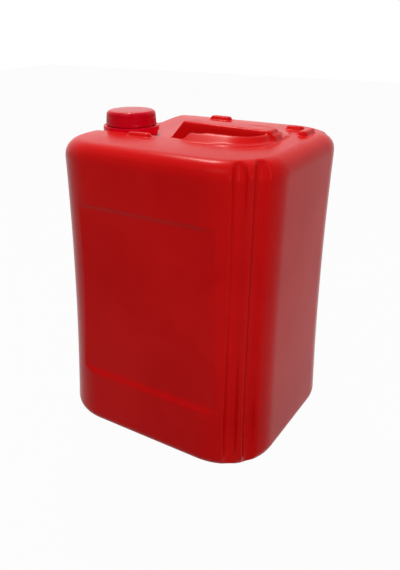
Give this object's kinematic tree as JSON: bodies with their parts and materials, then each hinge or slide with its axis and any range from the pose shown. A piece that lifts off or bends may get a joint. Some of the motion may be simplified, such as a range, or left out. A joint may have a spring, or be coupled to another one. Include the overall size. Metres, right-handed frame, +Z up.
{
  "type": "plastic jerrycan",
  "caption": "Upright blow-moulded plastic jerrycan with a moulded-in top handle, a screw cap on a corner-side neck and a tamper ring under it.",
  "frame": {"origin": "on the floor, under the middle of the can", "axes": "+Z up, +X from the neck towards the far end of the handle, -Y the front"},
  "size_m": [0.2888, 0.2618, 0.3895],
  "materials": {
    "can": "satin",
    "cap": "gloss",
    "ring": "gloss",
    "seal": "matte"
  },
  "bodies": {
    "can": {"can_body": "can", "tamper_ring": "ring"},
    "seal": {"cap_seal": "seal"},
    "cap": {"screw_cap": "cap"}
  },
  "joints": [
    {"name": "cap_lift", "type": "slide", "parent": "can", "child": "seal", "axis": [0, 0, 1], "range_m": [0, 0.0251]},
    {"name": "cap_turn", "type": "hinge", "parent": "seal", "child": "cap", "pos_m": [-0.1031, 0, 0.3716], "axis": [0, 0, 1], "range_deg": [0, 1800]}
  ],
  "couplings": [
    {"joint": "cap_lift", "follows": "cap_turn", "m_per_rad": 0.00079577}
  ]
}
